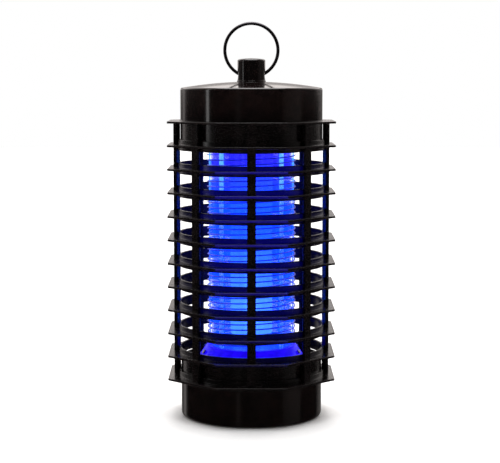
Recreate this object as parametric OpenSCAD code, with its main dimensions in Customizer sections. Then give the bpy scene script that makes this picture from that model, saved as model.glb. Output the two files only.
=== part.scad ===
// Hanging electric insect killer: a lamp and a high-voltage wire grid inside a louvred cage,
// with the electronics in the head and a twist-off tray below.
// The origin is the centre of the tray's underside, and the front faces -Y.

/* [Cage] */
// Radius of the cylindrical head, collars and tray
body_r = 48; // [46:0.5:50]
// Number of louvre rings
louvre_count = 12; // [8:1:12]
// Height from one louvre ring to the next
louvre_pitch = 15.7; // [14:0.1:17]
// Distance from the axis to the flat sides of the octagonal louvre flanges
louvre_apothem = 56; // [55:0.5:60]
// Thickness of a louvre flange
louvre_t = 1.4; // [1:0.1:2]
// Width of an upright rib at its outer face
rib_w = 5.8; // [4:0.1:8]
// Distance from the axis to the outer face of a rib
rib_outer = 52.8; // [52:0.1:54]
// Thickness of the moulded walls
wall = 2.2; // [1.8:0.1:2.6]

/* [Tray] */
// Height of the lowest louvre ring above the tray's underside
tray_h = 28; // [26:1:32]
// Angle that the tray turns to unlock
tray_turn = 30; // [20:1:35]

/* [Head] */
// Height of the head's side wall above the top louvre ring
head_h = 22.9; // [20:0.1:26]
// Rise of the crowned top
crown_h = 4; // [2:0.5:5]
// Radius of the boss that holds the hanging ring
boss_r = 9.5; // [8:0.5:11]
// Height of the boss above the head's top edge
boss_h = 19.7; // [17:0.1:22]
// Outside diameter of the hanging ring
ring_d = 38; // [34:1:42]
// Diameter of the ring's wire
ring_wire_d = 2.2; // [2:0.1:2.6]

/* [Grid and lamp] */
// Radius of the wire grid
grid_r = 29.7; // [28:0.1:31]
// Diameter of the grid wire
grid_wire_d = 0.9; // [0.8:0.1:1.4]
// Turns in each of the two windings
grid_turns = 18; // [10:1:18]
// Outer radius of the clear sleeve round the lamp
sleeve_r = 27.4; // [24:0.1:27.6]
// Radius of each leg of the lamp
lamp_r = 6; // [5:0.5:6.5]
// Distance between the centres of the lamp's legs
lamp_pitch = 16.6; // [14:0.1:18]

/* [Hidden] */
$fn = 96;
eps = 0.01;
// Clearance between parts of the cage that are seated in each other
seat = 0.05;
// Clearance between a collar and what passes outside it
slip = 0.3;

// Cage levels
function ring_z(i) = tray_h + (louvre_count - i) * louvre_pitch;
top_ring_z = ring_z(1);
hoop_up = 3.8;
hoop_down = 3.3;
hoop_in = body_r + slip;
hoop_out = hoop_in + 1.5;
// Thickness of the top flange that closes over the ends of the ribs
rib_cover = 0.7;
rib_count = 8;
// Width of a rib's inner edge, which its sides taper to from its shoulder
rib_edge_w = 0.8;
rib_shoulder = 50.6;
rib_angles = [for (i = [0:rib_count - 1]) i * 360 / rib_count];

// Collars
low_collar_bottom = tray_h - 0.15;
low_collar_top = ring_z(louvre_count - 1) - hoop_down - 0.2;
low_collar_in = body_r - 3.6;
high_collar_bottom = ring_z(2) - hoop_down + 0.2;
high_collar_top = top_ring_z + louvre_t / 2 - 0.1;
high_collar_in = body_r - 2.4;
deck_z = ring_z(2) + 2;
deck_t = 2.5;
deck_top = deck_z + deck_t;

// Head
cover_bottom = high_collar_top + 0.25;
cover_edge_z = top_ring_z + head_h;
cover_edge_r = 1.4;
// Where the crown sits on the head's side wall
crown_joint_z = cover_edge_z - wall - cover_edge_r;
boss_top = cover_edge_z + boss_h;
boss_flare = 0.3;
boss_foot_z = cover_edge_z + crown_h - 0.6;
ring_r = (ring_d - ring_wire_d) / 2;
ring_bore_r = 3;
ring_pivot_z = boss_top - 11.3;
ring_centre_z = ring_pivot_z - 1.3 + ring_r;
screw_post_r = 3;
screw_post_at = 40.5;
screw_r = 1.3;
screw_bore_r = 1.36;
clear_hole_r = 1.7;

// Cord inlet in the back of the head
inlet_z = top_ring_z + 11;
inlet_hole_r = 5;
inlet_bore_r = 3.2;

// Circuit board
board_r = 35.5;
board_z = deck_top + 16;
board_t = 1.6;
board_top = board_z + board_t;
standoff_at = 31;
standoff_angles = [20, 110, 200, 290];
lead_r = 0.9;
lead_hole_r = 1.3;
lead_x = 25.7;
lead_y = 8;

// Wire grid and its plates
grid_pitch = 7.1;
grid_base_z = tray_h + 22.4;
grid_height = grid_turns * grid_pitch;
grid_steps = 22;
cone_low_z = tray_h + 11;
cone_high_z = tray_h + 20.5;
cone_low_r = 36;
cone_high_r = 30.5;
cap_plate_r = 34;
cap_plate_z = grid_base_z + grid_height + 2.2;
cap_plate_t = 2.4;
plate_screw_at = 22;
hub_screw_at = 19;
hub_z = tray_h + 5.6;
post_in = sleeve_r + 0.35;
post_out = grid_r * cos(180 / grid_steps) - grid_wire_d / 2 - 0.15;
post_w = 3.2;
post_angles = [45, 135, 225, 315];
grid_post_angles = [0:45:315];

// Lamp
lamp_low_z = cone_high_z + 4;
lamp_high_z = cap_plate_z - 4;
lamp_base_top = deck_top + 1;
socket_top = deck_top + 12.5;

// Tray
tray_wall_top = tray_h - 1.2;
tray_round = 2.4;
neck_out = low_collar_in - 0.3;
neck_in = neck_out - 2;
neck_top = tray_h + 5;
lug_out = neck_out + 2.1;
lug_z = tray_h + 1.7;
lug_h = 2.3;
lug_sweep = 16;
lug_angles = [15, 135, 255];
groove_out = lug_out + 0.3;
seal_t = 0.85;

ring_names = [for (i = [1:louvre_count]) str("louvre_ring_", i < 10 ? "0" : "", i)];

// ---- shared shapes ----

// Copies a shape to each of a list of angles about the vertical axis.
module around(angles) {
    for (a = angles) rotate([0, 0, a]) children();
}

// A ring with a rectangular section.
module tube(out_r, in_r, low, high) {
    rotate_extrude() translate([in_r, low]) square([out_r - in_r, high - low]);
}

// A sector of a ring, centred on the +X direction.
module sector(out_r, in_r, low, high, sweep) {
    rotate([0, 0, -sweep / 2])
        rotate_extrude(angle = sweep) translate([in_r, low]) square([out_r - in_r, high - low]);
}

// An octagon with its flat sides facing the ribs.
module octagon(apothem) {
    rotate([0, 0, 22.5]) circle(r = apothem / cos(22.5), $fn = 8);
}

// A pan-head screw that points down, with its head's underside at the origin.
module pan_screw(shank_r, length, head_r, head_h) {
    translate([0, 0, -length]) cylinder(r = shank_r, h = length + eps);
    difference() {
        cylinder(r = head_r, h = head_h);
        for (a = [0, 90]) rotate([0, 0, a])
            translate([-head_r * 0.6, -0.3, head_h - 0.5]) cube([head_r * 1.2, 0.6, 1]);
    }
}

// ---- cage ----

// The section of the hoop at the root of a louvre flange.
module hoop_section() {
    polygon([
        [hoop_in, -hoop_down],
        [hoop_out, -hoop_down],
        [hoop_out, hoop_up],
        [hoop_in, hoop_up]
    ]);
}

// The section of a rib, widened all round by a clearance.
module rib_section(room) {
    edge = rib_edge_w / 2 + room;
    side = rib_w / 2 + room;
    polygon([
        [hoop_in - 2 * room, -edge],
        [rib_shoulder, -side],
        [rib_outer + room, -side],
        [rib_outer + room, side],
        [rib_shoulder, side],
        [hoop_in - 2 * room, edge]
    ]);
}

// The eight notches that the ribs pass through.
module rib_slots(bottom, top) {
    around(rib_angles)
        translate([0, 0, bottom]) linear_extrude(top - bottom) rib_section(seat);
}

module louvre_ring(i) {
    slot_bottom = i == louvre_count ? -louvre_t / 2 - seat : -hoop_down - 1;
    slot_top = i == 1 ? louvre_t / 2 - rib_cover : hoop_up + 1;
    color("#1b1619")
    translate([0, 0, ring_z(i)])
    difference() {
        union() {
            translate([0, 0, -louvre_t / 2]) linear_extrude(louvre_t)
                difference() {
                    octagon(louvre_apothem);
                    circle(r = hoop_in);
                }
            if (i > 1) rotate_extrude() hoop_section();
        }
        rib_slots(slot_bottom, slot_top);
    }
}

module cage_ribs() {
    low = ring_z(louvre_count) - louvre_t / 2;
    high = top_ring_z + louvre_t / 2 - rib_cover - seat;
    color("#1b1619")
    around(rib_angles)
        translate([0, 0, low]) linear_extrude(high - low) rib_section(0);
}

module upper_collar() {
    color("#1b1619")
    tube(body_r, high_collar_in, high_collar_bottom, high_collar_top);
}

// The floor of the head, inside the upper collar.
module head_deck() {
    color("#1b1619")
    difference() {
        translate([0, 0, deck_z]) cylinder(r = high_collar_in - seat, h = deck_t);
        translate([0, 0, deck_z - 1]) lamp_opening(deck_t + 2);
        around(post_angles)
            translate([screw_post_at, 0, deck_z - 1]) cylinder(r = clear_hole_r, h = deck_t + 2);
        around([90, 270])
            translate([plate_screw_at, 0, deck_z - 1]) cylinder(r = screw_bore_r, h = deck_t + 2);
        around([0, 180])
            translate([lead_x, lead_y, deck_z - 1]) cylinder(r = lead_hole_r, h = deck_t + 2);
    }
}

// The pillars that the circuit board stands on, and the two that the grid hangs from.
module deck_pillars() {
    grid_pillar_low = cap_plate_z + cap_plate_t + 0.1;
    color("#1b1619")
    difference() {
        union() {
            around(standoff_angles)
                translate([standoff_at, 0, deck_top + seat])
                    cylinder(r = 3, h = board_z - deck_top - seat);
            around([90, 270])
                translate([plate_screw_at, 0, grid_pillar_low])
                    cylinder(r = 4, h = deck_z - grid_pillar_low - seat);
        }
        around(standoff_angles)
            translate([standoff_at, 0, board_z - 8]) cylinder(r = screw_bore_r, h = 9);
        around([90, 270])
            translate([plate_screw_at, 0, cap_plate_z]) cylinder(r = screw_bore_r, h = 10);
    }
}

// The rectangular way through the deck and the grid's top plate for the lamp's base.
module lamp_opening(height) {
    translate([-16, -9.5, 0]) cube([32, 19, height]);
}

module lower_collar() {
    color("#1b1619")
    difference() {
        union() {
            tube(body_r, low_collar_in, low_collar_bottom, low_collar_top);
            around([0, 90, 180, 270])
                translate([13, -2.5, hub_z])
                    cube([low_collar_in - 12, 5, cone_low_z - hub_z - 0.2]);
            tube(24, 12, hub_z, cone_low_z - 0.1);
        }
        around(lug_angles) {
            rotate([0, 0, -tray_turn / 2])
                sector(groove_out, low_collar_in - 1, lug_z - 0.3, lug_z + lug_h + 0.3,
                    lug_sweep + tray_turn + 4);
            rotate([0, 0, -tray_turn])
                sector(groove_out + 0.3, low_collar_in - 2, low_collar_bottom - 1, lug_z + 1,
                    lug_sweep + 3);
        }
        around(post_angles)
            translate([hub_screw_at, 0, hub_z - 1]) cylinder(r = clear_hole_r, h = 10);
    }
}

// ---- head ----

// The outside of the head's top: a rounded edge, then a shallow crown that runs up to the boss.
module crown_section(inset, bottom) {
    out_r = body_r - inset;
    edge_r = cover_edge_r;
    edge_z = cover_edge_z - inset;
    crown_r = out_r - edge_r;
    polygon(concat(
        [[0, bottom], [out_r, bottom]],
        [for (a = [0:15:75]) [crown_r + edge_r * cos(a), edge_z - edge_r + edge_r * sin(a)]],
        [for (s = [10:-1:0]) [crown_r * s / 10, edge_z + crown_h * (1 - pow(s / 10, 2))]]
    ));
}

// The boss stands in a shallow seat in the crown, and the hanging ring runs through its bore.
module ring_boss() {
    color("#17120f")
    difference() {
        rotate_extrude() polygon(concat(
            [
                [0, boss_foot_z],
                [boss_r + boss_flare, boss_foot_z],
                [boss_r + boss_flare, boss_foot_z + 0.7],
                [boss_r, boss_foot_z + 1.7]
            ],
            [for (a = [0:15:90]) [boss_r - 1.6 + 1.6 * cos(a), boss_top - 2.2 + 1.6 * sin(a)]],
            [[boss_r * 0.45, boss_top - 0.2], [0, boss_top]]
        ));
        translate([-boss_r - 5, 0, ring_pivot_z]) rotate([0, 90, 0])
            cylinder(r = ring_bore_r, h = 2 * boss_r + 10);
    }
}

module top_cover() {
    color("#17120f")
    difference() {
        rotate_extrude() crown_section(0, crown_joint_z);
        rotate_extrude() crown_section(wall, crown_joint_z - 1);
        translate([0, 0, boss_foot_z]) cylinder(r = boss_r + boss_flare + seat, h = crown_h);
    }
}

// The head's side wall.
module head_wall() {
    color("#17120f")
    difference() {
        tube(body_r, body_r - wall, cover_bottom, crown_joint_z - seat);
        translate([0, body_r - 8, inlet_z]) rotate([-90, 0, 0])
            cylinder(r = inlet_hole_r, h = 12);
    }
}

// The lip that centres the head in the upper collar.
module cover_lip() {
    color("#17120f")
    union() {
        tube(high_collar_in - 0.3, high_collar_in - 1.8, cover_bottom - 3, cover_bottom + 2);
        tube(body_r - wall - seat, high_collar_in - 1.8, cover_bottom, cover_bottom + 2);
    }
}

// The four posts that hang from the crown, which the cover's screws go into.
module cover_posts() {
    post_low = deck_top + 0.3;
    post_high = cover_edge_z - wall + 0.1;
    color("#17120f")
    around(post_angles)
        translate([screw_post_at, 0, post_low])
            difference() {
                cylinder(r = screw_post_r, h = post_high - post_low);
                translate([0, 0, -1]) cylinder(r = screw_bore_r, h = 14);
            }
}

module cover_screws() {
    color("#9a9a98")
    around(post_angles)
        translate([screw_post_at, 0, deck_z - seat]) mirror([0, 0, 1])
            pan_screw(screw_r, 12, 2.7, 1.7);
}

module hanging_ring() {
    color("#3a3a3c")
    translate([0, 0, ring_centre_z]) rotate([90, 0, 0])
        rotate_extrude() translate([ring_r, 0]) circle(d = ring_wire_d, $fn = 32);
}

module cord_grommet() {
    inner_wall = sqrt(pow(body_r - wall, 2) - pow(6.5, 2));
    color("#222222")
    translate([0, 0, inlet_z]) rotate([-90, 0, 0])
        rotate_extrude() polygon([
            [inlet_bore_r, inner_wall - 2.2],
            [6.5, inner_wall - 2.2],
            [6.5, inner_wall - 0.2],
            [inlet_hole_r - 0.1, inner_wall - 0.2],
            [inlet_hole_r - 0.1, body_r + 0.1],
            [7.2, body_r + 0.1],
            [7.2, body_r + 1.4],
            [6.4, body_r + 2],
            [inlet_bore_r, body_r + 2]
        ]);
}

// ---- electronics ----

module circuit_board() {
    color("#2e6b3a")
    difference() {
        translate([0, 0, board_z]) cylinder(r = board_r, h = board_t);
        around(standoff_angles)
            translate([standoff_at, 0, board_z - 1]) cylinder(r = 1.6, h = board_t + 2);
        around([0, 180])
            translate([lead_x, lead_y, board_z - 1]) cylinder(r = lead_hole_r, h = board_t + 2);
    }
}

module board_screws() {
    color("#b5b5b2")
    around(standoff_angles)
        translate([standoff_at, 0, board_top + seat]) pan_screw(screw_r, 6, 2.4, 1.5);
}

// A box component on the board.
module board_box(x, y, size) {
    translate([x - size[0] / 2, y - size[1] / 2, board_top + seat]) cube(size);
}

module film_capacitors() {
    color("#a3372b")
    for (x = [-21, -10, 1, 12]) board_box(x, -15, [8.5, 5, 9.5]);
}

module smoothing_capacitor() {
    color("#23262e")
    translate([-16, 4, board_top + seat]) cylinder(r = 5, h = 12);
}

module choke_core() {
    color("#4a4d52")
    translate([2, 4, board_top + 1.5]) tube(6.4, 4, 0, 5);
}

module choke_winding() {
    color("#b4642c")
    translate([2, 4, board_top + seat]) difference() {
        tube(7.6, 2.8, 0, 8);
        tube(6.5, 3.9, 1.3, 6.6);
    }
}

module diodes() {
    color("#2a2a2a")
    for (i = [0:5]) translate([-15 + 6 * i, -22, board_top + 1.6]) rotate([90, 0, 0])
        cylinder(r = 1.3, h = 5, center = true);
}

module resistors() {
    color("#c2a878")
    for (i = [0:2]) translate([20, -8 + 5 * i, board_top + 1.7]) rotate([0, 90, 0])
        cylinder(r = 1.4, h = 7, center = true);
}

module fuse() {
    color("#d8d8d2")
    translate([16, 12, board_top + 3.2]) rotate([0, 90, 0])
        cylinder(r = 2.6, h = 15, center = true);
}

module terminal_block() {
    color("#3f7d4c")
    difference() {
        board_box(2, 25, [16, 9, 10]);
        for (x = [-2, 6]) translate([x, 25, board_top + 4]) cylinder(r = 1.8, h = 8);
        for (x = [-2, 6]) translate([x, 33, board_top + 4.5]) rotate([90, 0, 0])
            cylinder(r = 1.5, h = 10);
    }
}

module lamp_leads() {
    color("#5a3a28")
    for (x = [-6, 6]) translate([x, 0, socket_top + 0.1])
        cylinder(r = lead_r, h = board_z - socket_top - 0.2);
}

module grid_leads() {
    color("#7a1f1f")
    around([0, 180])
        translate([lead_x, lead_y, cap_plate_z + cap_plate_t + 0.1])
            cylinder(r = lead_r, h = board_top - cap_plate_z - cap_plate_t - 0.5);
}

// ---- lamp ----

module lamp_socket() {
    color("#d9d7cf")
    difference() {
        translate([-19, -12, deck_top + 0.1]) cube([38, 24, socket_top - deck_top - 0.1]);
        translate([-15.6, -9.1, deck_top - 1]) cube([31.2, 18.2, lamp_base_top - deck_top + 1.2]);
        for (x = [-11, 11]) translate([x, 0, deck_top]) cylinder(r = 1.5, h = 8.5);
    }
}

module lamp_base() {
    color("#e4e2da")
    difference() {
        translate([-15, -8.5, lamp_high_z - 5]) cube([30, 17, lamp_base_top - lamp_high_z + 5]);
        for (x = [-1, 1]) translate([x * lamp_pitch / 2, 0, lamp_high_z - 6])
            cylinder(r = lamp_r + 0.05, h = 6);
    }
}

module lamp_tube() {
    bend_z = lamp_low_z + lamp_r;
    color("#5a4bff")
    union() {
        for (x = [-1, 1]) translate([x * lamp_pitch / 2, 0, bend_z]) {
            cylinder(r = lamp_r, h = lamp_high_z - bend_z);
            sphere(r = lamp_r);
        }
        translate([0, 0, bend_z + 3]) rotate([0, 90, 0])
            cylinder(r = 3.2, h = lamp_pitch - 2 * lamp_r + 3, center = true);
    }
}

module lamp_pins() {
    color("#c8c8c4")
    for (x = [-11, 11]) translate([x, 0, lamp_base_top]) cylinder(r = 1.2, h = 6);
}

module light_sleeve() {
    color("#2f5bff", 0.5)
    tube(sleeve_r, sleeve_r - 1.4, cone_high_z + 0.2, cap_plate_z - 0.2);
}

// ---- grid ----

// A helix of square wire, as one closed polyhedron of rings joined end to end.
module winding(start) {
    turns = grid_steps * grid_turns;
    half = grid_wire_d / 2;
    path = [for (i = [0:turns]) [start + 360 * i / grid_steps, grid_base_z + grid_pitch * i / grid_steps]];
    section = [[half, 0], [0, half], [-half, 0], [0, -half]];
    points = [for (p = path) for (s = section)
        [(grid_r + s[0]) * cos(p[0]), (grid_r + s[0]) * sin(p[0]), p[1] + s[1]]];
    sides = [for (i = [0:turns - 1]) for (k = [0:3])
        [4 * i + k, 4 * i + (k + 1) % 4, 4 * (i + 1) + (k + 1) % 4, 4 * (i + 1) + k]];
    triangles = [for (q = sides) for (t = [[q[0], q[1], q[2]], [q[0], q[2], q[3]]]) t];
    last = 4 * turns;
    ends = [[2, 1, 0], [3, 2, 0], [last, last + 1, last + 2], [last, last + 2, last + 3]];
    polyhedron(points = points, faces = concat(triangles, ends));
}

module grid_wire_a() {
    color("#b9bcc2") winding(0);
}

module grid_wire_b() {
    color("#b9bcc2") winding(180);
}

module grid_posts() {
    color("#9fc4ff", 0.6)
    around(grid_post_angles)
        translate([post_in, -post_w / 2, cone_high_z + 0.2])
            cube([post_out - post_in, post_w, cap_plate_z - cone_high_z - 0.4]);
}

module grid_top_plate() {
    color("#20242c")
    difference() {
        translate([0, 0, cap_plate_z]) cylinder(r = cap_plate_r, h = cap_plate_t);
        translate([0, 0, cap_plate_z - 1]) lamp_opening(cap_plate_t + 2);
        around([90, 270])
            translate([plate_screw_at, 0, cap_plate_z - 1])
                cylinder(r = clear_hole_r, h = cap_plate_t + 2);
    }
}

module grid_bottom_plate() {
    color("#3a2fd0")
    difference() {
        union() {
            translate([0, 0, cone_low_z + 1.5])
                cylinder(r1 = cone_low_r, r2 = cone_high_r, h = cone_high_z - cone_low_z - 1.5);
            translate([0, 0, cone_low_z]) cylinder(r = cone_low_r, h = 1.5 + eps);
        }
        around(post_angles)
            translate([hub_screw_at, 0, cone_low_z - 1]) cylinder(r = screw_bore_r, h = 8);
    }
}

module top_plate_screws() {
    color("#b5b5b2")
    around([90, 270])
        translate([plate_screw_at, 0, cap_plate_z - seat]) mirror([0, 0, 1])
            pan_screw(screw_r, 7, 2.4, 1.5);
}

module bottom_plate_screws() {
    color("#b5b5b2")
    around(post_angles)
        translate([hub_screw_at, 0, hub_z - seat]) mirror([0, 0, 1])
            pan_screw(screw_r, 11, 2.6, 1.6);
}

// Four small screws on the cone that hold the ends of the windings.
module wire_end_screws() {
    lean = atan((cone_low_r - cone_high_r) / (cone_high_z - cone_low_z - 1.5));
    color("#c8c8c4")
    around([-18, 18, 162, 198])
        translate([(cone_low_r + cone_high_r) / 2 + 0.15, 0, (cone_low_z + 1.5 + cone_high_z) / 2])
            rotate([0, 90 - lean, 0]) cylinder(r = 1.5, h = 1.1);
}

// ---- tray ----

module tray() {
    color("#17120f")
    union() {
        rotate_extrude() polygon(concat(
            [[0, 0]],
            [for (a = [-90:15:0])
                [body_r - tray_round + tray_round * cos(a), tray_round + tray_round * sin(a)]],
            [
                [body_r, tray_wall_top],
                [neck_out, tray_wall_top],
                [neck_out, neck_top],
                [neck_in, neck_top],
                [neck_in, tray_wall_top - 3],
                [body_r - wall, tray_wall_top - 6],
                [body_r - wall, 6],
                [body_r - wall - 3, wall + 0.4],
                [0, wall + 0.4]
            ]
        ));
        around(lug_angles) sector(lug_out, neck_out - 0.5, lug_z, lug_z + lug_h, lug_sweep);
    }
}

module tray_seal() {
    color("#2b2b2b")
    tube(body_r - 0.6, neck_out + 0.15, tray_wall_top + seat, tray_wall_top + seat + seal_t);
}

// ---- nodes ----

for (i = [1:louvre_count])
    louvre_ring(i);
cage_ribs();
upper_collar();
lower_collar();
head_deck();
deck_pillars();
top_cover();
head_wall();
cover_lip();
cover_posts();
ring_boss();
cover_screws();
hanging_ring();
cord_grommet();
circuit_board();
board_screws();
film_capacitors();
smoothing_capacitor();
choke_core();
choke_winding();
diodes();
resistors();
fuse();
terminal_block();
lamp_leads();
grid_leads();
lamp_socket();
lamp_base();
lamp_tube();
lamp_pins();
light_sleeve();
grid_wire_a();
grid_wire_b();
grid_posts();
grid_top_plate();
grid_bottom_plate();
top_plate_screws();
bottom_plate_screws();
wire_end_screws();
tray();
tray_seal();
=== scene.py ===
# A hanging electric insect killer: a lit lamp and a wound wire grid inside a louvred cage, with
# the electronics in the head and a twist-off tray below. Everything is in metres, in the frame.
import math

import bpy
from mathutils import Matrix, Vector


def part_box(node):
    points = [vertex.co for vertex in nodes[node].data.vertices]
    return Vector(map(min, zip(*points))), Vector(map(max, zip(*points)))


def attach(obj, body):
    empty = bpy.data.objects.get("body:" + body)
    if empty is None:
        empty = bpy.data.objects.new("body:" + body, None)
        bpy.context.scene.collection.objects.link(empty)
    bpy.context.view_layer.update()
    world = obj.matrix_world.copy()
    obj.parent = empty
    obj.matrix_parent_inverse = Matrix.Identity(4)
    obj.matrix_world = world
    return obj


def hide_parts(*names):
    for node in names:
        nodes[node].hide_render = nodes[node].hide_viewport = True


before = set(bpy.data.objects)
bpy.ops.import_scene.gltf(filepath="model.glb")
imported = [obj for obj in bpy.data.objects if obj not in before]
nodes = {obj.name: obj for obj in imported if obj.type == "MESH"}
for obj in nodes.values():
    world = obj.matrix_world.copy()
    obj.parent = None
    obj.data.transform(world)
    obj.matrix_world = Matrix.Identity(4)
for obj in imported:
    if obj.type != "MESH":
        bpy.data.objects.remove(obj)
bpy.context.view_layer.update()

# ---- Louvre rings ----
# Twelve octagonal plates with a round hoop at the root of each, moulded with the ribs and collars
# in one piece of black ABS. A polished mould gives a deep gloss with a faint waviness in it, and
# every edge comes out slightly rounded.
mm = 0.001
plate_t = 1.4 * mm
cover_gap = 0.3 * mm
hoop_t = 1.5 * mm
hoop_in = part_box("top_cover")[1].x + cover_gap
hoop_out = hoop_in + hoop_t
hoop_rise = 3.8 * mm
hoop_drop = 3.3 * mm
corners = 8
corner_turn = math.radians(180 / corners)
steps_per_side = 12
ring_count = 12
ring_nodes = [f"louvre_ring_{i + 1:02d}" for i in range(ring_count)]
plate_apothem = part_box(ring_nodes[0])[1].x
lowest_ring_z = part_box(ring_nodes[-1])[0].z + hoop_drop
second_ring_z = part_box(ring_nodes[1])[0].z + hoop_drop
pitch = (second_ring_z - lowest_ring_z) / (ring_count - 2)


def linear(code):
    """The linear colour of an sRGB hex value."""
    parts = [int(code[i:i + 2], 16) / 255 for i in (1, 3, 5)]
    return [c / 12.92 if c < 0.04045 else ((c + 0.055) / 1.055) ** 2.4 for c in parts] + [1.0]


def start_material(name):
    """An empty node material."""
    material = bpy.data.materials.new(name)
    material.use_nodes = True
    material.node_tree.nodes.clear()
    return material


def add_node(tree, kind, inputs=None, **settings):
    """Adds a node, makes its settings, and fills its sockets with values or with links."""
    node = tree.nodes.new("ShaderNode" + kind)
    for name, value in settings.items():
        setattr(node, name, value)
    for name, value in (inputs or {}).items():
        if isinstance(value, bpy.types.NodeSocket):
            tree.links.new(value, node.inputs[name])
        else:
            node.inputs[name].default_value = value
    return node


def gloss_abs(name, dark, light, smoothest, roughest):
    """Black ABS from a polished mould: deep gloss, slow waves in it and fine specks of haze."""
    wave_length = 9 * mm
    speck_spacing = 0.5 * mm
    material = start_material(name)
    tree = material.node_tree
    place = add_node(tree, "TexCoord").outputs["Object"]
    waves = add_node(tree, "TexNoise", {"Vector": place, "Scale": 1 / wave_length, "Detail": 1.0})
    specks = add_node(tree, "TexNoise", {
        "Vector": place, "Scale": 1 / speck_spacing, "Detail": 3.0})
    tint = add_node(tree, "ValToRGB", {"Fac": waves.outputs["Fac"]})
    tint.color_ramp.elements[0].position = 0.35
    tint.color_ramp.elements[0].color = linear(dark)
    tint.color_ramp.elements[1].position = 0.7
    tint.color_ramp.elements[1].color = linear(light)
    dulling = add_node(tree, "MapRange", {
        "Value": specks.outputs["Fac"], "From Min": 0.4, "From Max": 0.75,
        "To Min": smoothest, "To Max": roughest})
    long_bump = add_node(tree, "Bump", {
        "Height": waves.outputs["Fac"], "Strength": 0.5, "Distance": 0.06 * mm})
    short_bump = add_node(tree, "Bump", {
        "Height": specks.outputs["Fac"], "Strength": 0.15, "Distance": 0.01 * mm,
        "Normal": long_bump.outputs["Normal"]})
    shader = add_node(tree, "BsdfPrincipled", {
        "Base Color": tint.outputs["Color"], "Roughness": dulling.outputs["Result"],
        "IOR": 1.53, "Normal": short_bump.outputs["Normal"]})
    add_node(tree, "OutputMaterial", {"Surface": shader.outputs["BSDF"]})
    return material, shader


cage_look = ("#0b0708", "#130d0d", 0.16, 0.34)
cage_abs, _ = gloss_abs("black ABS, moulded with a gloss", *cage_look)

# The hoops carry a painted blue glow, in a band at each ring's level, and the plates' rims a painted
# violet highlight. Both are painted strongest to the front and the back, across the lamp's two legs,
# which stand side by side, and fade towards the dark plate above and the cone below.
hoop_glow_end = hoop_out + 0.3 * mm
hoop_dark_from = hoop_out + 1.6 * mm
rim_glow_w = 0.5 * mm
full_glow_share = 0.86
side_glow_share = 0.7
side_glow = 0.12
glow_foot_z = lowest_ring_z + pitch / 2
full_glow_z = lowest_ring_z + 5 * pitch
glow_top_z = lowest_ring_z + 9.3 * pitch
dark_top_z = lowest_ring_z + 9.6 * pitch
painted_glow_abs, painted_glow_shader = gloss_abs("black ABS, painted blue glow", *cage_look)
tree = painted_glow_abs.node_tree
place = add_node(tree, "TexCoord").outputs["Object"]
axes = add_node(tree, "SeparateXYZ", {"Vector": place})
flat = add_node(tree, "CombineXYZ", {"X": axes.outputs["X"], "Y": axes.outputs["Y"]})
radius = add_node(tree, "VectorMath", {0: flat.outputs["Vector"]}, operation="LENGTH")
painted_hoop_glow = add_node(tree, "MapRange", {
    "Value": radius.outputs["Value"], "From Min": hoop_glow_end,
    "From Max": hoop_dark_from, "To Min": 1.0, "To Max": 0.0})
depth = add_node(tree, "Math", {0: axes.outputs["Y"]}, operation="ABSOLUTE")
facing = add_node(tree, "Math", {0: depth.outputs["Value"], 1: radius.outputs["Value"]},
    operation="DIVIDE")
broadside = add_node(tree, "MapRange", {
    "Value": facing.outputs["Value"], "From Min": side_glow_share,
    "From Max": full_glow_share, "To Min": side_glow, "To Max": 1.0})
painted_rim_highlight = add_node(tree, "MapRange", {
    "Value": depth.outputs["Value"], "From Min": plate_apothem - rim_glow_w,
    "From Max": plate_apothem - 0.4 * rim_glow_w})
count_up = add_node(tree, "MapRange", {
    "Value": axes.outputs["Z"], "From Min": lowest_ring_z - pitch / 2,
    "From Max": lowest_ring_z + pitch / 2}, clamp=False)
level = add_node(tree, "Math", {0: count_up.outputs["Result"]}, operation="FRACT")
# Painted blue glow, in a band at each ring's level.
through = add_node(tree, "ValToRGB", {"Fac": level.outputs["Value"]})
through.color_ramp.elements[0].position = 0.3
through.color_ramp.elements[0].color = linear("#000005")
through.color_ramp.elements[1].position = 0.742
through.color_ramp.elements[1].color = linear("#000008")
for part, code in ((0.39, "#00003a"), (0.5, "#00004c"), (0.6, "#010158"), (0.68, "#010156")):
    through.color_ramp.elements.new(part).color = linear(code)
# Painted violet highlight along the plates' rims.
glow = add_node(tree, "MixRGB", {
    "Fac": painted_rim_highlight.outputs["Result"], "Color1": through.outputs["Color"],
    "Color2": linear("#100a6e")})
lower_fade = add_node(tree, "MapRange", {
    "Value": axes.outputs["Z"], "From Min": glow_foot_z, "From Max": full_glow_z,
    "To Min": 0.0, "To Max": 1.0})
upper_fade = add_node(tree, "MapRange", {
    "Value": axes.outputs["Z"], "From Min": glow_top_z, "From Max": dark_top_z,
    "To Min": 1.0, "To Max": 0.0})
power = add_node(tree, "Math", {0: painted_hoop_glow.outputs["Result"], 1: painted_rim_highlight.outputs["Result"]},
    operation="MAXIMUM")
for factor in (broadside, lower_fade, upper_fade):
    power = add_node(tree, "Math", {0: power.outputs["Value"], 1: factor.outputs["Result"]},
        operation="MULTIPLY")
# The painted glow and highlight go into the emission of the black plastic.
tree.links.new(glow.outputs["Color"], painted_glow_shader.inputs["Emission Color"])
tree.links.new(power.outputs["Value"], painted_glow_shader.inputs["Emission Strength"])


def begin(name, add_primitive, **settings):
    """Adds a primitive by itself, puts its place into its mesh, and opens it for editing."""
    bpy.ops.object.select_all(action="DESELECT")
    add_primitive(**settings)
    piece = bpy.context.object
    piece.name = name
    bpy.ops.object.transform_apply()
    bpy.ops.object.mode_set(mode="EDIT")
    bpy.ops.mesh.select_mode(type="VERT")
    bpy.ops.mesh.select_all(action="SELECT")
    return piece


def pull(start, end):
    """Extrudes what is selected from one (radius, height) to another round the vertical axis."""
    growth = end[0] / start[0]
    bpy.ops.mesh.extrude_region_move(TRANSFORM_OT_translate={"value": (0, 0, end[1] - start[1])})
    bpy.ops.transform.resize(value=(growth, growth, 1), center_override=(0, 0, 0))


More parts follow.
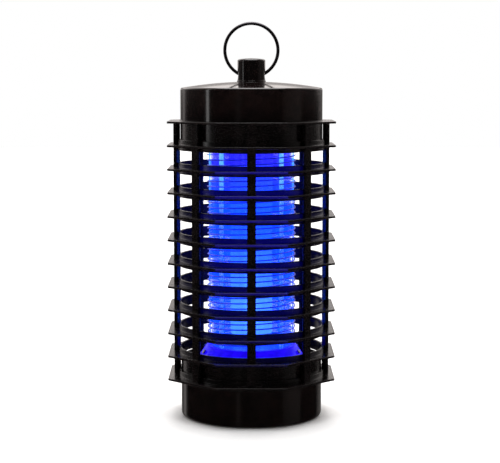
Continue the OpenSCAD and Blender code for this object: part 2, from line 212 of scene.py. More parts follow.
def close_up():
    """Welds loops that meet, turns all faces outwards and leaves edit mode."""
    bpy.ops.mesh.select_all(action="SELECT")
    bpy.ops.mesh.remove_doubles(threshold=0.003 * mm)
    bpy.ops.mesh.normals_make_consistent(inside=False)
    bpy.ops.object.mode_set(mode="OBJECT")


def pick(piece):
    """Selects one piece by itself."""
    bpy.ops.object.select_all(action="DESELECT")
    piece.select_set(True)
    bpy.context.view_layer.objects.active = piece


def soften(piece, width, segments=2):
    """Rounds a piece's edges and shades it smooth, with its flat faces kept flat."""
    pick(piece)
    if width:
        bevel = piece.modifiers.new("rounded edges", "BEVEL")
        bevel.width = width
        bevel.segments = segments
        bevel.limit_method = "ANGLE"
        bevel.angle_limit = math.radians(32)
        bpy.ops.object.modifier_apply(modifier=bevel.name)
    bpy.ops.object.shade_smooth_by_angle(angle=math.radians(50))
    flat = piece.modifiers.new("flat faces", "WEIGHTED_NORMAL")
    flat.keep_sharp = True
    bpy.ops.object.modifier_apply(modifier=flat.name)


def finish_as(piece, material):
    """Gives a piece one material."""
    piece.data.materials.clear()
    piece.data.materials.append(material)


def select_only(piece, items):
    """Opens a piece for editing with only some of its edges or faces selected."""
    for item in (*piece.data.vertices, *piece.data.edges, *piece.data.polygons):
        item.select = False
    for item in items:
        item.select = True
        for i in item.vertices:
            piece.data.vertices[i].select = True
    bpy.ops.object.mode_set(mode="EDIT")


def loops_at(piece, level):
    """The edges of a louvre at one height, from the hoop's outer face outwards."""
    slack = 0.01 * mm
    found = []
    for edge in piece.data.edges:
        ends = [piece.data.vertices[i].co for i in edge.vertices]
        level_ends = [v for v in ends if abs(v.z - level) < slack]
        outer_ends = [v for v in level_ends if v.xy.length > hoop_out - slack]
        if len(outer_ends) == 2:
            found.append(edge)
    return found


def louvre_plate(name, height, hoop):
    """One louvre: an octagon bridged to its round root, which is pulled round the hoop's section."""
    top = height + plate_t / 2
    bottom = height - plate_t / 2
    piece = begin(name, bpy.ops.mesh.primitive_circle_add, vertices=corners,
        radius=plate_apothem / math.cos(corner_turn), location=(0, 0, bottom),
        rotation=(0, 0, corner_turn))
    bpy.ops.mesh.subdivide(number_cuts=steps_per_side - 1)
    bpy.ops.mesh.extrude_region_move(TRANSFORM_OT_translate={"value": (0, 0, plate_t)})
    bpy.ops.mesh.primitive_circle_add(vertices=corners * steps_per_side, radius=hoop_out,
        location=(0, 0, top))
    section = [(hoop_out, top)]
    if hoop:
        section += [
            (hoop_out, height + hoop_rise),
            (hoop_in, height + hoop_rise),
            (hoop_in, height - hoop_drop),
            (hoop_out, height - hoop_drop),
        ]
    else:
        section += [(hoop_in, top), (hoop_in, bottom)]
    section += [(hoop_out, bottom)]
    for start, end in zip(section, section[1:]):
        pull(start, end)
    for level in (top, bottom):
        bpy.ops.object.mode_set(mode="OBJECT")
        select_only(piece, loops_at(piece, level))
        bpy.ops.mesh.select_mode(type="EDGE")
        bpy.ops.mesh.bridge_edge_loops()
    close_up()
    soften(piece, width=0.22 * mm)
    finish_as(piece, painted_glow_abs if hoop else cage_abs)
    return piece


for i, node in enumerate(ring_nodes):
    low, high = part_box(node)
    has_hoop = i > 0
    height = low.z + hoop_drop if has_hoop else (low.z + high.z) / 2
    plate = louvre_plate(f"louvre_{i + 1:02d}", height, has_hoop)
    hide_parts(node)
    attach(plate, "cage")

# ---- Ribs ----
# Eight upright bars of the same moulding, which run down through all the plates. Their outer
# corners are rounded more than the plates' edges, because a hand carries the cage by them.
rib_w = 5.8 * mm
rib_edge_w = 0.8 * mm
rib_taper = hoop_t + 0.8 * mm
rib_shoulder = hoop_in + rib_taper
rib_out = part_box("cage_ribs")[1].x
rib_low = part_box("cage_ribs")[0].z
rib_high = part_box("cage_ribs")[1].z
ribs = begin("upright_ribs", bpy.ops.mesh.primitive_cube_add, size=1,
    location=((rib_shoulder + rib_out) / 2, 0, (rib_low + rib_high) / 2),
    scale=(rib_out - rib_shoulder, rib_w, rib_high - rib_low))
bpy.ops.object.mode_set(mode="OBJECT")
select_only(ribs, [face for face in ribs.data.polygons if face.normal.x < -0.9])
bpy.ops.mesh.select_mode(type="FACE")
bpy.ops.mesh.extrude_region_move(TRANSFORM_OT_translate={"value": (-rib_taper, 0, 0)})
bpy.ops.transform.resize(value=(1, rib_edge_w / rib_w, 1), center_override=(0, 0, 0))
bpy.ops.mesh.select_all(action="SELECT")
bpy.ops.mesh.spin(steps=corners - 1, dupli=True, angle=math.radians(360 - 360 / corners),
    center=(0, 0, 0), axis=(0, 0, 1))
close_up()
soften(ribs, width=0.3 * mm, segments=3)
finish_as(ribs, cage_abs)
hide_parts("cage_ribs")
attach(ribs, "cage")

# ---- Collars ----
# The round ends of the cage. The upper one carries the head, with a deck and its pillars inside,
# and the lower one has the bayonet slots for the tray. All of them keep the frame's own shape.
for name in ("upper_collar", "lower_collar", "head_deck", "deck_pillars"):
    finish_as(nodes[name], cage_abs)

# ---- Head cover ----
# A black ABS cap with a rounded edge and a shallow crown, pressed over the upper collar and held
# by screws from inside. Its mould is polished more than the cage's, so it mirrors the studio.
cover_abs, _ = gloss_abs("black ABS, polished", "#0c0707", "#140c0b", 0.07, 0.2)
wall = 2.2 * mm
cover_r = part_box("top_cover")[1].x
crown_h = 4 * mm
outer_edge_r = 1.4 * mm
inner_edge_r = 1 * mm
crown_steps = 14
edge_steps = 6

# A turned outline starts and ends this far off the axis, where its loop welds into a pole.
pole_r = 0.001 * mm


def dome(inset, edge_r, top, low):
    """The outline of the crowned cap from its pole to its rim, drawn in by an inset."""
    out_r = cover_r - inset
    crown_r = out_r - edge_r
    edge_z = top - crown_h - inset
    line = []
    for s in range(crown_steps + 1):
        part = max(s / crown_steps, pole_r / crown_r)
        line.append((crown_r * part, edge_z + crown_h * (1 - part * part)))
    for s in range(1, edge_steps + 1):
        turn = math.radians(90 * s / edge_steps)
        line.append((crown_r + edge_r * math.sin(turn), edge_z - edge_r * (1 - math.cos(turn))))
    return line + [(out_r, low)]


def turned(name, section, steps=128):
    """A round piece: a circle pulled through the points of a section, from one end to the other."""
    piece = begin(name, bpy.ops.mesh.primitive_circle_add, vertices=steps,
        radius=section[0][0], location=(0, 0, section[0][1]))
    for start, end in zip(section, section[1:]):
        pull(start, end)
    close_up()
    return piece


boss_low, boss_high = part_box("ring_boss")
boss_seat = 0.6 * mm
crown_top = boss_low.z + boss_seat
rim_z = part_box("head_wall")[0].z
outside = dome(0, outer_edge_r, crown_top, rim_z)
inside = dome(wall, inner_edge_r, crown_top, rim_z)
cover = turned("head_cover", outside + inside[::-1])


def combine(piece, other, operation):
    """Cuts another shape out of a piece, or unites them, and throws the other one away."""
    pick(piece)
    change = piece.modifiers.new("change", "BOOLEAN")
    change.operation = operation
    change.solver = "EXACT"
    change.object = other
    bpy.ops.object.modifier_apply(modifier=change.name)
    bpy.data.objects.remove(other)


def lay_over(piece, axis, y, z):
    """Turns a mesh by a quarter about an axis through the origin, then moves it to its place."""
    pick(piece)
    bpy.ops.object.mode_set(mode="EDIT")
    bpy.ops.mesh.select_all(action="SELECT")
    bpy.ops.transform.rotate(value=math.radians(90), orient_axis=axis, center_override=(0, 0, 0))
    bpy.ops.transform.translate(value=(0, y, z))
    bpy.ops.object.mode_set(mode="OBJECT")


inlet_low, inlet_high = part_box("cord_grommet")
inlet_z = (inlet_low.z + inlet_high.z) / 2
hole_r = 5 * mm
hole_half = 12 * mm
inlet_hole = turned("inlet_hole", [
    (pole_r, -hole_half), (hole_r, -hole_half), (hole_r, hole_half), (pole_r, hole_half)],
    steps=48)
lay_over(inlet_hole, "X", cover_r, inlet_z)
combine(cover, inlet_hole, "DIFFERENCE")
soften(cover, width=0)
finish_as(cover, cover_abs)
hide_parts("top_cover", "head_wall")
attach(cover, "cage")
for name in ("cover_lip", "cover_posts"):
    finish_as(nodes[name], cover_abs)

# ---- Boss ----
# A round stub of the same polished ABS that stands in the middle of the crown, with a cross bore
# that the hanging ring turns in. A small flare blends its foot into the crown.
boss_r = 9.5 * mm
boss_top = boss_high.z
foot_r = boss_high.x
foot_h = 0.7 * mm
flare_low = 0.9 * mm
flare_h = 1 * mm
flare_steps = 3
corner_r = 1.6 * mm
corner_steps = 6
top_h = 0.6 * mm
top_bend_r = 0.45 * boss_r
boss_line = [(pole_r, boss_low.z), (foot_r, boss_low.z), (foot_r, boss_low.z + foot_h)]
for s in range(flare_steps + 1):
    turn = math.radians(90 * s / flare_steps)
    boss_line.append((
        foot_r - (foot_r - boss_r) * math.sin(turn),
        boss_low.z + flare_low + flare_h * (1 - math.cos(turn))))
for s in range(corner_steps + 1):
    turn = math.radians(90 * s / corner_steps)
    boss_line.append((
        boss_r - corner_r * (1 - math.cos(turn)),
        boss_top - top_h - corner_r * (1 - math.sin(turn))))
boss_line += [(top_bend_r, boss_top - top_h / 3), (pole_r, boss_top)]
boss = turned("ring_stub", boss_line, steps=96)
bore_r = 3 * mm
bore_z = 232 * mm
bore_flare = 0.5 * mm
bore_half = 20 * mm
bore_line = [
    (pole_r, -bore_half), (bore_r + 3 * bore_flare, -bore_half), (bore_r + bore_flare, -boss_r),
    (bore_r, -boss_r + 2 * bore_flare), (bore_r, boss_r - 2 * bore_flare),
    (bore_r + bore_flare, boss_r), (bore_r + 3 * bore_flare, bore_half), (pole_r, bore_half)]
bore = turned("bore", bore_line, steps=48)
lay_over(bore, "Y", 0, bore_z)
combine(boss, bore, "DIFFERENCE")
soften(boss, width=0)
finish_as(boss, cover_abs)
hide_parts("ring_boss")
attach(boss, "cage")

# ---- Hanging ring ----
# Drawn steel wire bent round a mandrel and plated dark nickel. Its two ends meet inside the
# boss, so the ring is sprung open, threaded through the bore and let close.
wire_low, wire_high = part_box("hanging_ring")
wire_r = wire_high.y
loop_r = wire_high.x - wire_r
loop_z = (wire_low.z + wire_high.z) / 2
wire_sides = 20
loop_steps = 120
gap_turn = math.radians(5)
start_turn = -math.pi / 2 + gap_turn / 2
start_x = loop_r * math.cos(start_turn)
start_z = loop_z + loop_r * math.sin(start_turn)
ring = begin("wire_ring", bpy.ops.mesh.primitive_circle_add, vertices=wire_sides, radius=wire_r,
    fill_type="NGON", location=(start_x, 0, start_z), rotation=(0, -start_turn, 0))
bpy.ops.mesh.spin(steps=loop_steps, angle=2 * math.pi - gap_turn, center=(0, 0, loop_z),
    axis=(0, -1, 0))
close_up()
soften(ring, width=0.2 * mm)

# Dark nickel plate gives a grey mirror, a little dulled where the wire rubs in the bore.
wear_size = 2 * mm
dark_nickel = start_material("steel wire, dark nickel plate")
tree = dark_nickel.node_tree
place = add_node(tree, "TexCoord").outputs["Object"]
wear = add_node(tree, "TexNoise", {"Vector": place, "Scale": 1 / wear_size, "Detail": 4.0})
plate_tint = add_node(tree, "ValToRGB", {"Fac": wear.outputs["Fac"]})
plate_tint.color_ramp.elements[0].color = linear("#3a383b")
plate_tint.color_ramp.elements[1].color = linear("#5e5a5e")
plate_dull = add_node(tree, "MapRange", {
    "Value": wear.outputs["Fac"], "To Min": 0.24, "To Max": 0.36})
plate_bump = add_node(tree, "Bump", {
    "Height": wear.outputs["Fac"], "Strength": 0.08, "Distance": 0.01 * mm})
shader = add_node(tree, "BsdfPrincipled", {
    "Base Color": plate_tint.outputs["Color"], "Roughness": plate_dull.outputs["Result"],
    "Metallic": 1.0, "Normal": plate_bump.outputs["Normal"]})
add_node(tree, "OutputMaterial", {"Surface": shader.outputs["BSDF"]})
finish_as(ring, dark_nickel)
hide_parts("hanging_ring")
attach(ring, "ring")

# ---- Cord grommet ----
# A soft black rubber bush, snapped into the hole in the back of the head. Its outer lip is
# rounded, and its bore is where a mains cord would go in.
lip_r = 7.2 * mm
lip_face_r = 6.4 * mm
inner_lip_r = 6.5 * mm
groove_r = 4.9 * mm
bush_bore = 3.2 * mm
bush_deep = -6.8 * mm
groove_deep = -4.8 * mm
groove_near = -1.9 * mm
lip_edge = -0.6 * mm
mouth = 0.9 * mm
bush = turned("cord_bush", [
    (bush_bore, bush_deep), (inner_lip_r, bush_deep), (inner_lip_r, groove_deep),
    (groove_r, groove_deep), (groove_r, groove_near), (lip_r, groove_near), (lip_r, lip_edge),
    (lip_face_r, 0), (bush_bore + mouth, 0), (bush_bore, -mouth), (bush_bore, bush_deep)],
    steps=64)
lay_over(bush, "X", inlet_high.y, inlet_z)
soften(bush, width=0.35 * mm, segments=3)


def rubber(name):
    """Black rubber with no shine and a fine grain from its mould."""
    grain_size = 0.4 * mm
    material = start_material(name)
    tree = material.node_tree
    place = add_node(tree, "TexCoord").outputs["Object"]
    grain = add_node(tree, "TexNoise", {"Vector": place, "Scale": 1 / grain_size, "Detail": 3.0})
    tint = add_node(tree, "ValToRGB", {"Fac": grain.outputs["Fac"]})
    tint.color_ramp.elements[0].color = linear("#141414")
    tint.color_ramp.elements[1].color = linear("#262524")
    bump = add_node(tree, "Bump", {
        "Height": grain.outputs["Fac"], "Strength": 0.4, "Distance": 0.03 * mm})
    shader = add_node(tree, "BsdfPrincipled", {
        "Base Color": tint.outputs["Color"], "Roughness": 0.72, "Normal": bump.outputs["Normal"]})
    add_node(tree, "OutputMaterial", {"Surface": shader.outputs["BSDF"]})
    return material


bush_rubber = rubber("nitrile rubber, moulded")
finish_as(bush, bush_rubber)
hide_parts("cord_grommet")
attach(bush, "cage")

# ---- Blue sleeve ----
# A tube of clear blue polycarbonate round the lamp, which keeps insects off the glass. Its glow is
# painted: azure all over, violet towards the top, with paler drawing lines from the die running
# up and down it.
sleeve_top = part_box("light_sleeve")[1].z
violet_low = sleeve_top - 34 * mm
violet_high = sleeve_top - 8 * mm
line_spacing = 2 * mm
line_squash = 0.03
sleeve = start_material("blue polycarbonate, extruded, painted glow")
tree = sleeve.node_tree
place = add_node(tree, "TexCoord").outputs["Object"]
drawn_out = add_node(tree, "Mapping", {"Vector": place, "Scale": (1, 1, line_squash)})
lines = add_node(tree, "TexNoise", {
    "Vector": drawn_out.outputs["Vector"], "Scale": 1 / line_spacing, "Detail": 2.0})
level = add_node(tree, "SeparateXYZ", {"Vector": place}).outputs["Z"]
upper = add_node(tree, "MapRange", {
    "Value": level, "From Min": violet_low, "From Max": violet_high})
azure = add_node(tree, "ValToRGB", {"Fac": lines.outputs["Fac"]})
azure.color_ramp.elements[0].position = 0.35
azure.color_ramp.elements[0].color = linear("#0a33f0")
azure.color_ramp.elements[1].position = 0.75
azure.color_ramp.elements[1].color = linear("#0d4cff")
violet = add_node(tree, "ValToRGB", {"Fac": lines.outputs["Fac"]})
violet.color_ramp.elements[0].position = 0.35
violet.color_ramp.elements[0].color = linear("#1a12c0")
violet.color_ramp.elements[1].position = 0.75
violet.color_ramp.elements[1].color = linear("#2a2cff")
glow = add_node(tree, "MixRGB", {
    "Fac": upper.outputs["Result"], "Color1": azure.outputs["Color"],
    "Color2": violet.outputs["Color"]})
# The sleeve's emission is a painted glow, azure below and violet near the top.
shader = add_node(tree, "BsdfPrincipled", {
    "Base Color": linear("#0a2bd0"), "Roughness": 0.08, "IOR": 1.585,
    "Emission Color": glow.outputs["Color"], "Emission Strength": 1.8, "Alpha": 0.55})
add_node(tree, "OutputMaterial", {"Surface": shader.outputs["BSDF"]})
finish_as(nodes["light_sleeve"], sleeve)

# ---- Lamp ----
# A compact two-leg lamp: glass tubes with a phosphor coat, brightest at the lower bend, in a
# white PBT base. Lit, the phosphor goes from violet-blue by the base to a pale cyan at the bend.
lamp_low, lamp_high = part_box("lamp_tube")
phosphor = start_material("phosphor-coated glass, lit")
tree = phosphor.node_tree
place = add_node(tree, "TexCoord").outputs["Object"]
level = add_node(tree, "SeparateXYZ", {"Vector": place}).outputs["Z"]
along = add_node(tree, "MapRange", {"Value": level, "From Min": lamp_low.z, "From Max": lamp_high.z})
light = add_node(tree, "ValToRGB", {"Fac": along.outputs["Result"]})
light.color_ramp.elements[0].position = 0.15
light.color_ramp.elements[0].color = linear("#5fb0ff")
light.color_ramp.elements[1].position = 0.6
light.color_ramp.elements[1].color = linear("#1440ff")
coat_patch = 3 * mm
coat = add_node(tree, "TexNoise", {"Vector": place, "Scale": 1 / coat_patch, "Detail": 2.0})
power = add_node(tree, "MapRange", {"Value": coat.outputs["Fac"], "To Min": 2.4, "To Max": 3.6})
shader = add_node(tree, "BsdfPrincipled", {
    "Base Color": linear("#c9d6ff"), "Roughness": 0.12,
    "Emission Color": light.outputs["Color"], "Emission Strength": power.outputs["Result"]})
add_node(tree, "OutputMaterial", {"Surface": shader.outputs["BSDF"]})
finish_as(nodes["lamp_tube"], phosphor)


def moulded(name, dark, light, roughness, grain_mm):
    """A moulded plastic or ceramic with a fine grain in its colour and its surface."""
    material = start_material(name)
    tree = material.node_tree
    place = add_node(tree, "TexCoord").outputs["Object"]
    grain = add_node(tree, "TexNoise", {
        "Vector": place, "Scale": 1 / (grain_mm * mm), "Detail": 4.0})
    tint = add_node(tree, "ValToRGB", {"Fac": grain.outputs["Fac"]})
    tint.color_ramp.elements[0].position = 0.3
    tint.color_ramp.elements[0].color = linear(dark)
    tint.color_ramp.elements[1].position = 0.7
    tint.color_ramp.elements[1].color = linear(light)
    bump = add_node(tree, "Bump", {
        "Height": grain.outputs["Fac"], "Strength": 0.2, "Distance": 0.02 * mm})
    shader = add_node(tree, "BsdfPrincipled", {
        "Base Color": tint.outputs["Color"], "Roughness": roughness,
        "Normal": bump.outputs["Normal"]})
    add_node(tree, "OutputMaterial", {"Surface": shader.outputs["BSDF"]})
    return material


white_pbt = moulded("white PBT, moulded", "#dad7cc", "#ebe9e1", roughness=0.42, grain_mm=0.8)
for name in ("lamp_base", "lamp_socket"):
    finish_as(nodes[name], white_pbt)

# ---- Wire grid ----
# Two helices of drawn steel wire, wound between each other on the clear posts, so that an insect
# bridges them. The wire is bright, with the long marks of the drawing die, and a faint blue glow
# painted on it.
grid_low, grid_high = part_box("grid_wire_a")
coil_d = 59.4 * mm
strand_r = (grid_high.x - grid_low.x - coil_d) / 2
coil_r = grid_high.x - strand_r
turns = 18
strand_sides = 8
steps_per_turn = 44
die_mark = 1.2 * mm
coil_low = grid_low.z + strand_r
coil_high = grid_high.z - strand_r
drawn_wire_painted_glow = start_material("steel wire, drawn bright, painted blue glow")
tree = drawn_wire_painted_glow.node_tree
place = add_node(tree, "TexCoord").outputs["Object"]
marks = add_node(tree, "TexNoise", {"Vector": place, "Scale": 1 / die_mark, "Detail": 3.0})
tint = add_node(tree, "ValToRGB", {"Fac": marks.outputs["Fac"]})
tint.color_ramp.elements[0].color = linear("#8d9097")
tint.color_ramp.elements[1].color = linear("#c4c7cd")
dull = add_node(tree, "MapRange", {"Value": marks.outputs["Fac"], "To Min": 0.2, "To Max": 0.4})
# The faint blue emission is a painted glow from the lamp.
shader = add_node(tree, "BsdfPrincipled", {
    "Base Color": tint.outputs["Color"], "Roughness": dull.outputs["Result"], "Metallic": 1.0,
    "Emission Color": linear("#0420ff"), "Emission Strength": 0.3})
add_node(tree, "OutputMaterial", {"Surface": shader.outputs["BSDF"]})
for name, side in (("grid_wire_a", 1), ("grid_wire_b", -1)):
    coil = begin(name.replace("wire", "winding"), bpy.ops.mesh.primitive_circle_add,
        vertices=strand_sides, radius=strand_r, location=(side * coil_r, 0, coil_low),
        rotation=(math.radians(90), 0, 0))
    bpy.ops.object.mode_set(mode="OBJECT")
    winding = coil.modifiers.new("winding", "SCREW")
    winding.axis = "Z"
    winding.steps = steps_per_turn
    winding.render_steps = steps_per_turn
    winding.iterations = turns
    winding.angle = math.radians(360)
    winding.screw_offset = (coil_high - coil_low) / turns
    bpy.ops.object.modifier_apply(modifier=winding.name)
    bpy.ops.object.mode_set(mode="EDIT")
    bpy.ops.mesh.select_all(action="SELECT")
    bpy.ops.mesh.fill_holes(sides=strand_sides)
    close_up()
    soften(coil, width=0)
    finish_as(coil, drawn_wire_painted_glow)
    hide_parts(name)
    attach(coil, "cage")

# ---- Posts and plates of the grid ----
# Eight clear acrylic strips that the wire is wound on, sawn from sheet, between a dark plate under
# the deck and a blue cone that throws the light outwards and sheds what falls.
# The posts carry a painted glow, deep blue below and pale cyan towards the top.
cyan_low = sleeve_top - 40 * mm
cyan_high = sleeve_top - 12 * mm
saw_mark = 0.6 * mm
acrylic = start_material("clear acrylic, sawn, painted glow")
tree = acrylic.node_tree
place = add_node(tree, "TexCoord").outputs["Object"]
saw = add_node(tree, "TexNoise", {"Vector": place, "Scale": 1 / saw_mark, "Detail": 2.0})
haze = add_node(tree, "MapRange", {"Value": saw.outputs["Fac"], "To Min": 0.6, "To Max": 0.8})
level = add_node(tree, "SeparateXYZ", {"Vector": place}).outputs["Z"]
upper = add_node(tree, "MapRange", {"Value": level, "From Min": cyan_low, "From Max": cyan_high})
glow = add_node(tree, "MixRGB", {
    "Fac": upper.outputs["Result"], "Color1": linear("#1258f6"), "Color2": linear("#4fa8ee")})
shader = add_node(tree, "BsdfPrincipled", {
    "Base Color": linear("#a9c6ff"), "Roughness": 0.1, "IOR": 1.49,
    "Emission Color": glow.outputs["Color"], "Emission Strength": 1.0,
    "Alpha": haze.outputs["Result"]})
add_node(tree, "OutputMaterial", {"Surface": shader.outputs["BSDF"]})
finish_as(nodes["grid_posts"], acrylic)
finish_as(nodes["grid_top_plate"], cage_abs)

# The cone's blue glow is painted, cloudy where the plastic flowed in the mould. Its thick rim is
# painted without the glow and stays dark.
cone_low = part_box("grid_bottom_plate")[0].z
rim_top = cone_low + 1.2 * mm
painted_glow_from = cone_low + 3 * mm
cloud_size = 2.5 * mm
cone_painted_glow = start_material("blue polystyrene, painted glow")
tree = cone_painted_glow.node_tree
place = add_node(tree, "TexCoord").outputs["Object"]
flow = add_node(tree, "TexNoise", {"Vector": place, "Scale": 1 / cloud_size, "Detail": 4.0})
level = add_node(tree, "SeparateXYZ", {"Vector": place}).outputs["Z"]
painted_cone_glow = add_node(tree, "MapRange", {
    "Value": level, "From Min": rim_top, "From Max": painted_glow_from, "To Min": 0.0, "To Max": 1.3})
glow = add_node(tree, "ValToRGB", {"Fac": flow.outputs["Fac"]})
glow.color_ramp.elements[0].position = 0.3
glow.color_ramp.elements[0].color = linear("#1002b4")
glow.color_ramp.elements[1].position = 0.75
glow.color_ramp.elements[1].color = linear("#2208ff")
# Painted glow in the emission, faded out towards the rim.
shader = add_node(tree, "BsdfPrincipled", {
    "Base Color": linear("#1a0ab0"), "Roughness": 0.4,
    "Emission Color": glow.outputs["Color"],
    "Emission Strength": painted_cone_glow.outputs["Result"]})
add_node(tree, "OutputMaterial", {"Surface": shader.outputs["BSDF"]})
finish_as(nodes["grid_bottom_plate"], cone_painted_glow)

# ---- Screws and pins ----
# Cold-headed steel screws, barrel plated with zinc, and the lamp's plated pins. The plating is
# bright but not even, so the metal is mottled in grey.
spangle_size = 0.7 * mm
zinc = start_material("steel, zinc plated")
tree = zinc.node_tree
place = add_node(tree, "TexCoord").outputs["Object"]
spangle = add_node(tree, "TexNoise", {"Vector": place, "Scale": 1 / spangle_size, "Detail": 4.0})
tint = add_node(tree, "ValToRGB", {"Fac": spangle.outputs["Fac"]})
tint.color_ramp.elements[0].color = linear("#7f8180")
tint.color_ramp.elements[1].color = linear("#c3c3bf")
dull = add_node(tree, "MapRange", {"Value": spangle.outputs["Fac"], "To Min": 0.25, "To Max": 0.5})
shader = add_node(tree, "BsdfPrincipled", {
    "Base Color": tint.outputs["Color"], "Roughness": dull.outputs["Result"], "Metallic": 1.0})
add_node(tree, "OutputMaterial", {"Surface": shader.outputs["BSDF"]})
for name in ("cover_screws", "board_screws", "top_plate_screws", "bottom_plate_screws",
        "wire_end_screws", "lamp_pins"):
    finish_as(nodes[name], zinc)

# ---- Electronics ----
# A round laminate board that makes the grid's high voltage, with its parts soldered on top. It is
# sealed in the head, so its pieces keep the frame's shapes and take their own finishes.
for name, finish, dark, light, roughness, grain_mm in (
        ("circuit_board", "glass laminate, green resist", "#14512a", "#1f6b39", 0.35, 1.5),
        ("film_capacitors", "red epoxy, dipped", "#7c2018", "#94291e", 0.22, 2.0),
        ("smoothing_capacitor", "black PVC, shrunk on", "#16171f", "#20222c", 0.3, 1.0),
        ("choke_core", "ferrite, sintered", "#33353a", "#45484e", 0.7, 0.4),
        ("choke_winding", "copper wire, enamelled", "#8d4318", "#b9602a", 0.35, 0.5),
        ("diodes", "black epoxy, moulded", "#17171a", "#242427", 0.4, 0.6),
        ("resistors", "tan lacquer, baked", "#a98852", "#cdb07c", 0.45, 0.8),
        ("fuse", "white ceramic, glazed", "#c9c8c0", "#e0dfd8", 0.3, 1.0),
        ("terminal_block", "green polyamide, moulded", "#20603a", "#2d7a4b", 0.4, 0.8),
        ("lamp_leads", "brown PVC, extruded", "#4a2a1c", "#5c3826", 0.45, 0.8),
        ("grid_leads", "red silicone, extruded", "#6a1414", "#861c1c", 0.45, 0.8)):
    finish_as(nodes[name], moulded(finish, dark, light, roughness, grain_mm))

# ---- Tray ----
# A black ABS cup that catches what falls, turned off by a bayonet. Its outside is polished like
# the head's, and three lugs on its neck lock in the lower collar.
tray_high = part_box("tray")[1]
tray_r = tray_high.x
tray_in = tray_r - wall
tray_round = 2.4 * mm
seal_play = 0.05 * mm
shoulder_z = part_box("tray_seal")[0].z - seal_play
neck_out = 44.1 * mm
neck_in = 42.1 * mm
slope = 3 * mm
floor_t = 2.6 * mm
fillet_top = 6 * mm
line = [(pole_r, 0)]
for s in range(edge_steps + 1):
    turn = math.radians(90 * s / edge_steps)
    line.append((tray_r - tray_round * (1 - math.sin(turn)), tray_round * (1 - math.cos(turn))))
line += [
    (tray_r, shoulder_z), (neck_out, shoulder_z), (neck_out, tray_high.z), (neck_in, tray_high.z),
    (neck_in, shoulder_z - slope), (tray_in, shoulder_z - 2 * slope), (tray_in, fillet_top),
    (tray_in - slope, floor_t), (pole_r, floor_t)]
tray = turned("catch_tray", line)
lug_z = 29.7 * mm
lug_h = 2.3 * mm
lug_root = 0.5 * mm
lug_reach = 2.1 * mm
lug_in = neck_out - lug_root
lug_out = neck_out + lug_reach
lug_middle = ((lug_in + lug_out) / 2, 0, lug_z + lug_h / 2)
lug_deg = 16
lug_steps = 8
for middle_deg in (15, 135, 255):
    lug = begin("lug", bpy.ops.mesh.primitive_plane_add, size=lug_h, location=lug_middle,
        rotation=(math.radians(90), 0, 0))
    bpy.ops.transform.resize(value=((lug_out - lug_in) / lug_h, 1, 1),
        center_override=lug_middle)
    bpy.ops.transform.rotate(value=-math.radians(middle_deg + lug_deg / 2), orient_axis="Z",
        center_override=(0, 0, 0))
    bpy.ops.mesh.spin(steps=lug_steps, angle=math.radians(lug_deg), center=(0, 0, 0),
        axis=(0, 0, 1))
    close_up()
    combine(tray, lug, "UNION")
soften(tray, width=0.25 * mm)
finish_as(tray, cover_abs)
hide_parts("tray")
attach(tray, "tray")
finish_as(nodes["tray_seal"], bush_rubber)

# ---- Floor ----
# A wide sheet of matt white paper that the object stands on. It takes the soft shadow, and it is
# left out of what the gloss mirrors, so that the plastic stays black down to its foot.
fibre_size = 3 * mm
floor_r = 4.0
floor_z = -0.05 * mm
paper = start_material("white paper, matt")
tree = paper.node_tree
place = add_node(tree, "TexCoord").outputs["Object"]
fibre = add_node(tree, "TexNoise", {"Vector": place, "Scale": 1 / fibre_size, "Detail": 3.0})
tint = add_node(tree, "ValToRGB", {"Fac": fibre.outputs["Fac"]})
tint.color_ramp.elements[0].color = linear("#f4f4f4")
tint.color_ramp.elements[1].color = linear("#fbfbfb")
shader = add_node(tree, "BsdfPrincipled", {"Base Color": tint.outputs["Color"], "Roughness": 0.9})
add_node(tree, "OutputMaterial", {"Surface": shader.outputs["BSDF"]})
floor = begin("floor", bpy.ops.mesh.primitive_circle_add, vertices=64, radius=floor_r,
    fill_type="NGON", location=(0, 0, floor_z))
close_up()
finish_as(floor, paper)
floor.visible_glossy = False

# ---- Studio ----
# A white room: a bright wall behind with dimmer panels at its sides, a wide sky overhead, a tall
# strip light to the left, and darkness in front, so that the black plastic stays black.
bpy.context.scene.view_settings.view_transform = "Standard"
world = bpy.data.worlds.new("studio")
bpy.context.scene.world = world
world.use_nodes = True
tree = world.node_tree
tree.nodes.clear()
direction = add_node(tree, "TexCoord").outputs["Generated"]
axes = add_node(tree, "SeparateXYZ", {"Vector": direction})
bearing = add_node(tree, "Math", {0: axes.outputs["X"], 1: axes.outputs["Y"]}, operation="ARCTAN2")
round_room = add_node(tree, "MapRange", {
    "Value": bearing.outputs["Value"], "From Min": -math.pi, "From Max": math.pi})


def warm(value):
    """A faintly warm grey of some brightness."""
    return (value, value * 0.93, value * 0.9, 1)


dark_front = (0.02, 0.018, 0.018, 1)


def bands(stops):
    """A ramp of brightness round the room, from (degrees from straight behind, value) pairs."""
    ramp = add_node(tree, "ValToRGB", {"Fac": round_room.outputs["Result"]})
    for degrees, value in stops:
        element = ramp.color_ramp.elements.new((degrees + 180) / 360)
        element.color = warm(value)
    for element in (ramp.color_ramp.elements[0], ramp.color_ramp.elements[-1]):
        element.color = dark_front
    return ramp.outputs["Color"]


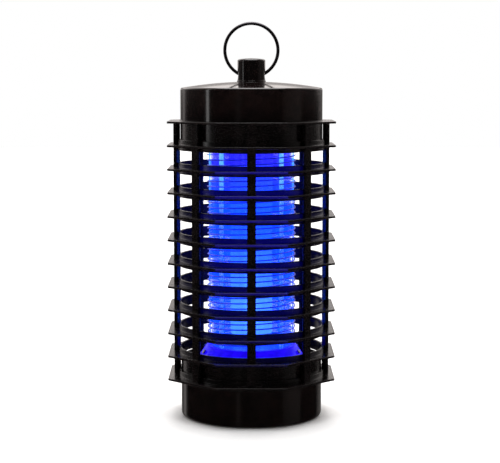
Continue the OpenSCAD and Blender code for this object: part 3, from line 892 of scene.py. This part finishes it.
low_wall = bands([
    (-165, 0.01), (-159, 0.1), (-153, 0.01), (-52, 0.01), (-45, 0.15), (-41, 0.5), (-35, 0.4),
    (-30, 0.12), (-10, 0.17), (20, 0.15), (30, 0.16), (40, 0.1), (47, 0.01), (90, 0.01),
    (96, 0.11), (124, 0.08), (130, 0.01)])
high_wall = bands([(-120, 0.04), (-70, 0.4), (-20, 0.5), (20, 0.5), (70, 0.4), (120, 0.04)])
height_part = add_node(tree, "MapRange", {
    "Value": axes.outputs["Z"], "From Min": -0.02, "From Max": 0.08})
walls = add_node(tree, "MixRGB", {
    "Fac": height_part.outputs["Result"], "Color1": low_wall, "Color2": high_wall})
back_wall = add_node(tree, "ValToRGB", {"Fac": axes.outputs["Z"]})
for sine, value in ((0.002, 1.5), (0.035, 1.5), (0.06, 0.5), (0.2, 0.5), (0.26, 1.8)):
    back_wall.color_ramp.elements.new(sine).color = warm(value)
back_wall.color_ramp.elements[0].color = (0.1, 0.1, 0.1, 1)
back_wall.color_ramp.elements[-1].color = (1.8, 1.7, 1.65, 1)
behind = bands([(-60, 0), (-40, 1), (40, 1), (60, 0)])
upward = add_node(tree, "MapRange", {
    "Value": axes.outputs["Z"], "From Min": -0.001, "From Max": 0.001})
behind_part = add_node(tree, "MixRGB", {
    "Fac": upward.outputs["Result"], "Color1": (0, 0, 0, 1), "Color2": behind})
room = add_node(tree, "MixRGB", {
    "Fac": behind_part.outputs["Color"], "Color1": walls.outputs["Color"],
    "Color2": back_wall.outputs["Color"]})
lit_room = add_node(tree, "Background", {"Color": room.outputs["Color"]})
white = add_node(tree, "Background", {"Color": (1, 1, 1, 1), "Strength": 1.0})
seen = add_node(tree, "LightPath").outputs["Is Camera Ray"]
view = add_node(tree, "MixShader", {
    0: seen, 1: lit_room.outputs["Background"], 2: white.outputs["Background"]})
add_node(tree, "OutputWorld", {"Surface": view.outputs["Shader"]})

# The daylight comes straight down from a wide sky.
daylight = bpy.data.lights.new("daylight", "SUN")
daylight.energy = 3.7
daylight.angle = math.radians(60)
bpy.context.scene.collection.objects.link(bpy.data.objects.new("daylight", daylight))

# The strip stands upright and faces the object. It draws the narrow line down the left of the head.
strip_w = 0.07
strip_h = 0.9
strip_radiance = 2.2
strip_away = 0.8
strip_middle_z = 0.6
strip_bearing = math.radians(-107.5)
strip = bpy.data.lights.new("strip", "AREA")
strip.shape = "RECTANGLE"
strip.size = strip_w
strip.size_y = strip_h
strip.energy = strip_radiance * math.pi * strip_w * strip_h
strip_stand = bpy.data.objects.new("strip", strip)
bpy.context.scene.collection.objects.link(strip_stand)
strip_stand.location = (
    strip_away * math.sin(strip_bearing), strip_away * math.cos(strip_bearing), strip_middle_z)
strip_stand.rotation_euler = (math.radians(90), 0, math.pi - strip_bearing)
strip_stand.visible_camera = False

# ---- Camera ----
# A long lens about a metre in front of the object, level with the top of the head and tilted a
# little down, so that the rings show more of their tops the lower they sit.
side_step = -0.95 * mm
stand_off = 0.9945
eye_height = 0.2286
tilt_deg = 5.9
camera = bpy.data.objects.new("camera", bpy.data.cameras.new("camera"))
bpy.context.scene.collection.objects.link(camera)
camera.data.sensor_width = 36
camera.data.lens = 105.5
camera.location = (side_step, -stand_off, eye_height)
camera.rotation_euler = (math.radians(90 - tilt_deg), 0, 0)
bpy.context.scene.camera = camera
